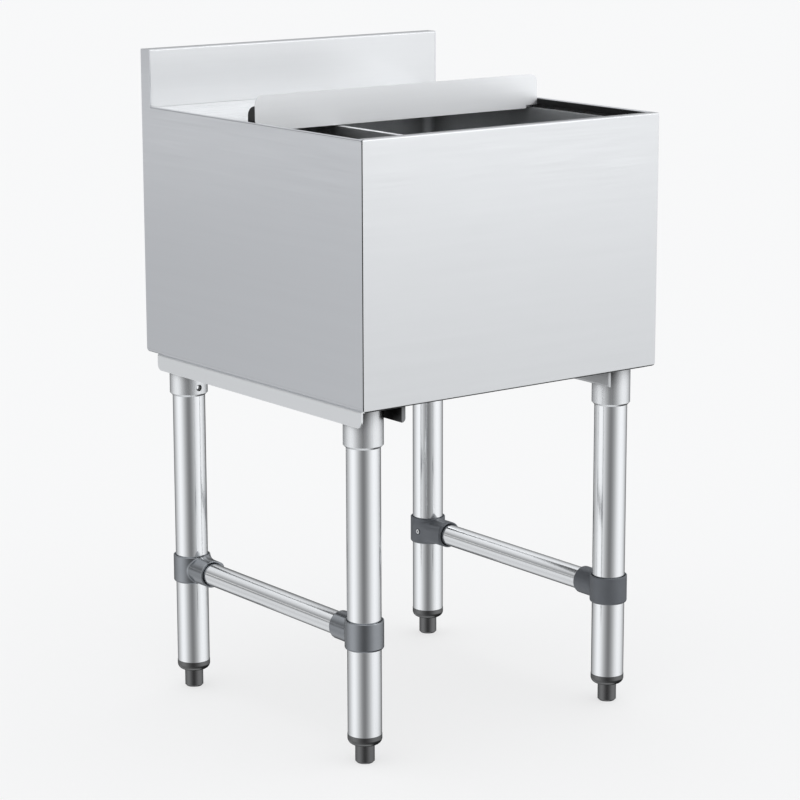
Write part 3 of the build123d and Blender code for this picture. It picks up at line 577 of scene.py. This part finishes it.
# The fillet between ring, branch and web grows over a run towards the web's side
FILLET = 1.2
FILLET_GROWTH = 4.3
FILLET_RUN = 12.0

# Grid of the casting's mesh, its room past the shape, and how its points settle on the surface
CASTING_STEP = 0.7
CASTING_ROOM = 1.0
SETTLE_ROUNDS = 3
SETTLE_LIMIT = 0.4
SLOPE_REACH = 0.05
SLOPE_LEAST = 0.25


def smooth_min(first, second, width):
    """Union of two distance fields with a rounded joint."""
    blend = np.clip(0.5 + 0.5 * (second - first) / width, 0.0, 1.0)
    return second + (first - second) * blend - width * blend * (1.0 - blend)


def smooth_max(first, second, width):
    """Intersection of two distance fields with a rounded edge."""
    return -smooth_min(-first, -second, width)


def round_bar(radial, lengthwise, edge):
    """Distance to a capped bar, from its radial and lengthwise excess, with rounded ends."""
    outside = np.hypot(np.maximum(radial + edge, 0.0), np.maximum(lengthwise + edge, 0.0))
    return outside + np.minimum(np.maximum(radial, lengthwise) + edge, 0.0) - edge


def tee_field(x, y, z):
    """Distance field of a tee connector."""
    ring_round = np.where(z > 0.0, RING_TOP_ROUND, RING_FOOT_ROUND)
    ring = round_bar(np.hypot(x, y) - RING_RADIUS, np.abs(z) - RING_HALF, ring_round)
    branch_radial = np.hypot(x, z) - BRANCH_RADIUS
    branch = round_bar(branch_radial, np.maximum(-y, y - BRANCH_REACH), BRANCH_ROUND)
    lean = (WEB_ROOT - WEB_TIP) / WEB_REACH
    tilt = math.hypot(1.0, lean)
    off_face = (x + y * lean - WEB_ROOT) / tilt
    face_along = (y - (x - WEB_ROOT) * lean) / tilt
    web = smooth_max(off_face, np.abs(z) - WEB_HALF, WEB_ROUND)
    web = np.maximum(np.maximum(web, y - WEB_REACH), np.maximum(-y, -x))
    fillet = FILLET + FILLET_GROWTH * np.clip(x / FILLET_RUN, 0.0, 1.0)
    body = smooth_min(smooth_min(ring, branch, fillet), web, fillet)
    slot_middle = np.clip(face_along, PAD_START + PAD_HALF, PAD_END - PAD_HALF)
    pad = round_bar(np.hypot(face_along - slot_middle, z) - PAD_HALF,
                    np.abs(off_face) - PAD_RISE, PAD_ROUND)
    body = np.minimum(body, pad)
    leg_bore = np.hypot(x, y)
    recess = np.maximum(leg_bore - LEG_BORE - RECESS_GAP, RING_HALF - RECESS_DEPTH - z)
    body = smooth_max(body, -np.minimum(leg_bore - LEG_BORE, recess), HOLE_ROUND)
    bore = np.maximum(branch_radial + BRANCH_RADIUS - BRANCH_BORE, BRANCH_BORE_START - y)
    mouth = np.maximum(branch_radial + BRANCH_RADIUS - BRANCH_BORE - RECESS_GAP,
                       BRANCH_REACH - RECESS_DEPTH - y)
    body = smooth_max(body, -np.minimum(bore, mouth), HOLE_ROUND)
    leg_screw = np.maximum(np.hypot(y - SCREW_ALONG, z) - SCREW_HOLE, -x)
    branch_screw = np.maximum(np.hypot(y - BRANCH_SCREW_ALONG, x) - SCREW_HOLE, z)
    return smooth_max(body, -np.minimum(leg_screw, branch_screw), HOLE_ROUND)


def surface_net(field, low, high, step):
    """Vertices and faces of a distance field's surface, between two corners."""
    counts = [int(math.ceil((top - base) / step)) + 1 for base, top in zip(low, high)]
    axes = [base + step * np.arange(count) for base, count in zip(low, counts)]
    values = field(*np.meshgrid(*axes, indexing="ij"))
    inside = values < 0.0
    total = np.zeros([count - 1 for count in counts] + [3])
    hits = np.zeros([count - 1 for count in counts])
    crossings = []
    for axis in range(3):
        start = [slice(None)] * 3
        stop = [slice(None)] * 3
        start[axis], stop[axis] = slice(None, -1), slice(1, None)
        start, stop = tuple(start), tuple(stop)
        crossed = inside[start] != inside[stop]
        crossings.append((crossed, inside[start]))
        place = np.stack(np.meshgrid(*[axis_values[:size] for axis_values, size
                                       in zip(axes, crossed.shape)], indexing="ij"), axis=-1)
        share = np.zeros(crossed.shape)
        share[crossed] = values[start][crossed] / (values[start] - values[stop])[crossed]
        place[..., axis] += share * step
        place *= crossed[..., None]
        sides = [side for side in range(3) if side != axis]
        for first in (0, 1):
            for second in (0, 1):
                cut = [slice(None)] * 3
                cut[sides[0]] = slice(first, counts[sides[0]] - 1 + first)
                cut[sides[1]] = slice(second, counts[sides[1]] - 1 + second)
                total += place[tuple(cut)]
                hits += crossed[tuple(cut)]
    number = np.full(hits.shape, -1)
    used = hits > 0
    number[used] = np.arange(used.sum())
    points = total[used] / hits[used][:, None]
    faces = [net_faces(axis, crossed, starts_inside, number, counts)
             for axis, (crossed, starts_inside) in enumerate(crossings)]
    for _ in range(SETTLE_ROUNDS):
        points = settled(field, points, step)
    return points, np.concatenate(faces)


def net_faces(axis, crossed, starts_inside, number, counts):
    """Faces around the grid lines along one axis that cross the surface."""
    across, along = [side for side in range(3) if side != axis]
    where = np.argwhere(crossed)
    where = where[(where[:, across] > 0) & (where[:, along] > 0)
                  & (where[:, across] < counts[across] - 1)
                  & (where[:, along] < counts[along] - 1)]
    ring = []
    for first, second in ((1, 1), (0, 1), (0, 0), (1, 0)):
        cell = where.copy()
        cell[:, across] -= first
        cell[:, along] -= second
        ring.append(number[tuple(cell.T)])
    quads = np.stack(ring, axis=1)
    flip = starts_inside[tuple(where.T)] == (axis == Y_AXIS)
    quads[flip] = quads[flip][:, ::-1]
    return quads


def settled(field, points, step):
    """Points moved along the field's slope towards its surface."""
    value = field(*points.T)
    slope = np.stack([(field(*(points + shift).T) - field(*(points - shift).T))
                      / (2 * SLOPE_REACH) for shift in SLOPE_REACH * np.eye(3)], axis=1)
    step_back = value / np.maximum((slope ** 2).sum(axis=1), SLOPE_LEAST)
    return points - np.clip(step_back, -SETTLE_LIMIT * step, SETTLE_LIMIT * step)[:, None] * slope


def make_tees(materials):
    """A smooth casting in place of each tee, the right ones' material a painted-shade copy."""
    radius, half = RING_RADIUS + CASTING_ROOM, RING_HALF + CASTING_ROOM
    points, faces = surface_net(tee_field, (-radius, -radius, -half),
                                (radius + CASTING_ROOM, BRANCH_REACH + CASTING_ROOM, half),
                                CASTING_STEP)
    for corner in CORNERS:
        middle, along, pad = tee_place(corner)
        placed = points * np.array((pad, along, 1.0)) * MM + np.array(middle)
        turned = faces[:, ::-1] if along * pad < 0 else faces
        piece = new_piece(f"casting_{corner}", placed.tolist(), turned.tolist(),
                          materials[corner.split("_")[1]])
        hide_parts(f"tee_{corner}")


# Set screws with a hexagon hole, in millimetres: one in each leg socket, and one on the leg and
# one under the branch of each tee. face is the distance of the outer end from the tube's axis, and
# across the hexagon's width.
SOCKET_SCREW = {"radius": 4.1, "length": 1.9, "across": 4.6, "face": 21.9}
TEE_SCREW = {"radius": 3.2, "length": 3.2, "across": 2.6, "face": 24.5}
BRANCH_SCREW = {"radius": 3.2, "length": 3.0, "across": 3.0, "face": 17.4}
SOCKET_SCREW_HEIGHT = 400.0
SCREW_SIDES = 24
SCREW_CHAMFER = 0.5
SCREW_SHARP_DEGREES = 30.0
HEX_DEPTH = 1.7
HEX_MOUTH = 1.25
HEX_LEAD = 0.25
HEX_TIP = 0.15


def loop_of(radius, height, hexagon=False):
    """A loop of points at a height: a circle, or a hexagon with this radius to its flats."""
    points = []
    for index in range(SCREW_SIDES):
        angle = 2.0 * math.pi * index / SCREW_SIDES
        reach = radius
        if hexagon:
            reach = radius / math.cos((angle + math.pi / 6.0) % (math.pi / 3.0) - math.pi / 6.0)
        points.append((reach * math.cos(angle), reach * math.sin(angle), height))
    return points


def screw_shape(radius, length, across):
    """Points and faces of a set screw, its outer face at zero height and its axis along Z."""
    flat = across / 2.0
    loops = [loop_of(radius - SCREW_CHAMFER, -length),
             loop_of(radius, -length + SCREW_CHAMFER),
             loop_of(radius, -SCREW_CHAMFER),
             loop_of(radius - SCREW_CHAMFER, 0.0),
             loop_of(flat * HEX_MOUTH, 0.0),
             loop_of(flat, -HEX_LEAD, hexagon=True),
             loop_of(flat, -HEX_DEPTH, hexagon=True)]
    points = [(0.0, 0.0, -length)] + [point for loop in loops for point in loop]
    points.append((0.0, 0.0, -HEX_DEPTH - HEX_TIP))
    faces = []
    for index in range(SCREW_SIDES):
        after = (index + 1) % SCREW_SIDES
        faces.append((0, 1 + after, 1 + index))
        for level in range(len(loops) - 1):
            low, high = 1 + level * SCREW_SIDES, 1 + (level + 1) * SCREW_SIDES
            faces.append((low + index, low + after, high + after, high + index))
        last = 1 + (len(loops) - 1) * SCREW_SIDES
        faces.append((last + index, last + after, len(points) - 1))
    return points, faces


def placed_screw(size, axis_point, direction):
    """A set screw's points in metres: its face stands off the axis point along a direction."""
    points, faces = screw_shape(size["radius"], size["length"], size["across"])
    turn = Vector((0.0, 0.0, 1.0)).rotation_difference(Vector(direction)).to_matrix()
    start = Vector(axis_point) + MM * size["face"] * Vector(direction)
    return [start + turn @ (MM * Vector(point)) for point in points], faces


def make_set_screws(materials):
    """Detailed set screws in place of both groups, with a material for each group."""
    groups = {"socket": [], "tee": []}
    for corner in CORNERS:
        (x, y, z), along, pad = tee_place(corner)
        groups["socket"].append(placed_screw(SOCKET_SCREW, (x, y, MM * SOCKET_SCREW_HEIGHT),
                                             (0.0, along, 0.0)))
        groups["tee"].append(placed_screw(TEE_SCREW, (x, y + MM * along * SCREW_ALONG, z),
                                          (pad, 0.0, 0.0)))
        groups["tee"].append(placed_screw(BRANCH_SCREW,
                                          (x, y + MM * along * BRANCH_SCREW_ALONG, z),
                                          (0.0, 0.0, -1.0)))
    for group, screws in groups.items():
        points, faces = [], []
        for screw_points, screw_faces in screws:
            faces += [tuple(len(points) + point for point in face) for face in screw_faces]
            points += screw_points
        piece = new_piece(f"hex_screws_{group}", points, faces, materials[group])
        piece.data.set_sharp_from_angle(angle=math.radians(SCREW_SHARP_DEGREES))
        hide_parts(f"{group}_set_screws")


# A dark bead of painted shade in the mitred gaps of the two front corners, in millimetres. The
# section's points are given by their depth, negative inward, and their offset across the corner.
SHADE_BEAD_FOOT = 446.5
SHADE_BEAD_TOP = 751.0
SHADE_BEAD_END = 0.4
SHADE_BEAD_INSET = 0.15
SHADE_BEAD_HALF = 0.6
SHADE_BEAD_BACK = -1.6
SHADE_BEAD_SECTION = ((-1.0, -SHADE_BEAD_HALF), (-1.12, -0.3), (-1.16, 0.0), (-1.12, 0.3), (-1.0, SHADE_BEAD_HALF),
                (SHADE_BEAD_BACK, SHADE_BEAD_HALF), (SHADE_BEAD_BACK, -SHADE_BEAD_HALF))
SHADE_BEAD_LEVELS = ((SHADE_BEAD_FOOT, SHADE_BEAD_INSET), (SHADE_BEAD_FOOT + SHADE_BEAD_END, 0.0), (SHADE_BEAD_TOP - SHADE_BEAD_END, 0.0),
               (SHADE_BEAD_TOP, SHADE_BEAD_INSET))
SHADE_BEAD_SHARP_DEGREES = 40.0


def make_corner_shade_beads(material):
    """A thin dark bead of painted shade with a hollow face up each front corner, its ends drawn in.
    """
    front_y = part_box("front_panel")[0][1]
    side_low, side_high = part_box("left_side_panel")[0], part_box("right_side_panel")[1]
    count, last = len(SHADE_BEAD_SECTION), len(SHADE_BEAD_LEVELS) - 1
    for name, side, corner_x in (("left", -1.0, side_low[0]), ("right", 1.0, side_high[0])):
        outward = Vector((side, -1.0, 0.0)).normalized()
        across = Vector((side, 1.0, 0.0)).normalized()
        points = []
        for height, inset in SHADE_BEAD_LEVELS:
            for depth, offset in SHADE_BEAD_SECTION:
                drawn_in = inset if depth > SHADE_BEAD_BACK else 0.0
                shift = (depth - drawn_in) * outward + offset * across
                points.append(Vector((corner_x, front_y, MM * height)) + MM * shift)
        top_loop = range(last * count, (last + 1) * count)
        faces = [tuple(range(count)), tuple(reversed(top_loop))]
        for start in range(0, last * count, count):
            for index in range(count):
                after = (index + 1) % count
                faces.append((start + index, start + after, start + count + after,
                              start + count + index))
        piece = new_piece(f"corner_shade_bead_{name}", points, faces, material)
        piece.data.set_sharp_from_angle(angle=math.radians(SHADE_BEAD_SHARP_DEGREES))


bpy.context.scene.view_settings.view_transform = "Standard"
make_camera()
make_floor()
make_world()
make_softboxes()
# One black material for the drain's rubber gasket and for the beads of painted shade in the front
# corners
gasket_and_shade_black = black_plastic("rubber_gasket_and_shade_bead", tone=0.02, roughness=0.80)
dress_frame(gasket_and_shade_black)
# The tee screws' hexagon holes get painted shade
make_set_screws({"tee": brushed_steel("steel_tee_screw", tone=0.97, roughness=0.30, along=Z_AXIS,
                                      crevice=(0.0015, 0.01)),
                 "socket": brushed_steel("steel_socket_screw", tone=0.22, roughness=0.20,
                                         along=Z_AXIS)})
# The right legs' tees get a darker copy of the casting's colours: painted shade
make_tees({"left": cast_metal("cast_lit", CAST_LIT, metallic=1.0, roughness=0.22),
           "right": cast_metal("cast_shaded", CAST_SHADED, metallic=0.5, roughness=0.42)})
# Dark beads that paint the shade in the mitred gaps of the front corners
make_corner_shade_beads(gasket_and_shade_black)
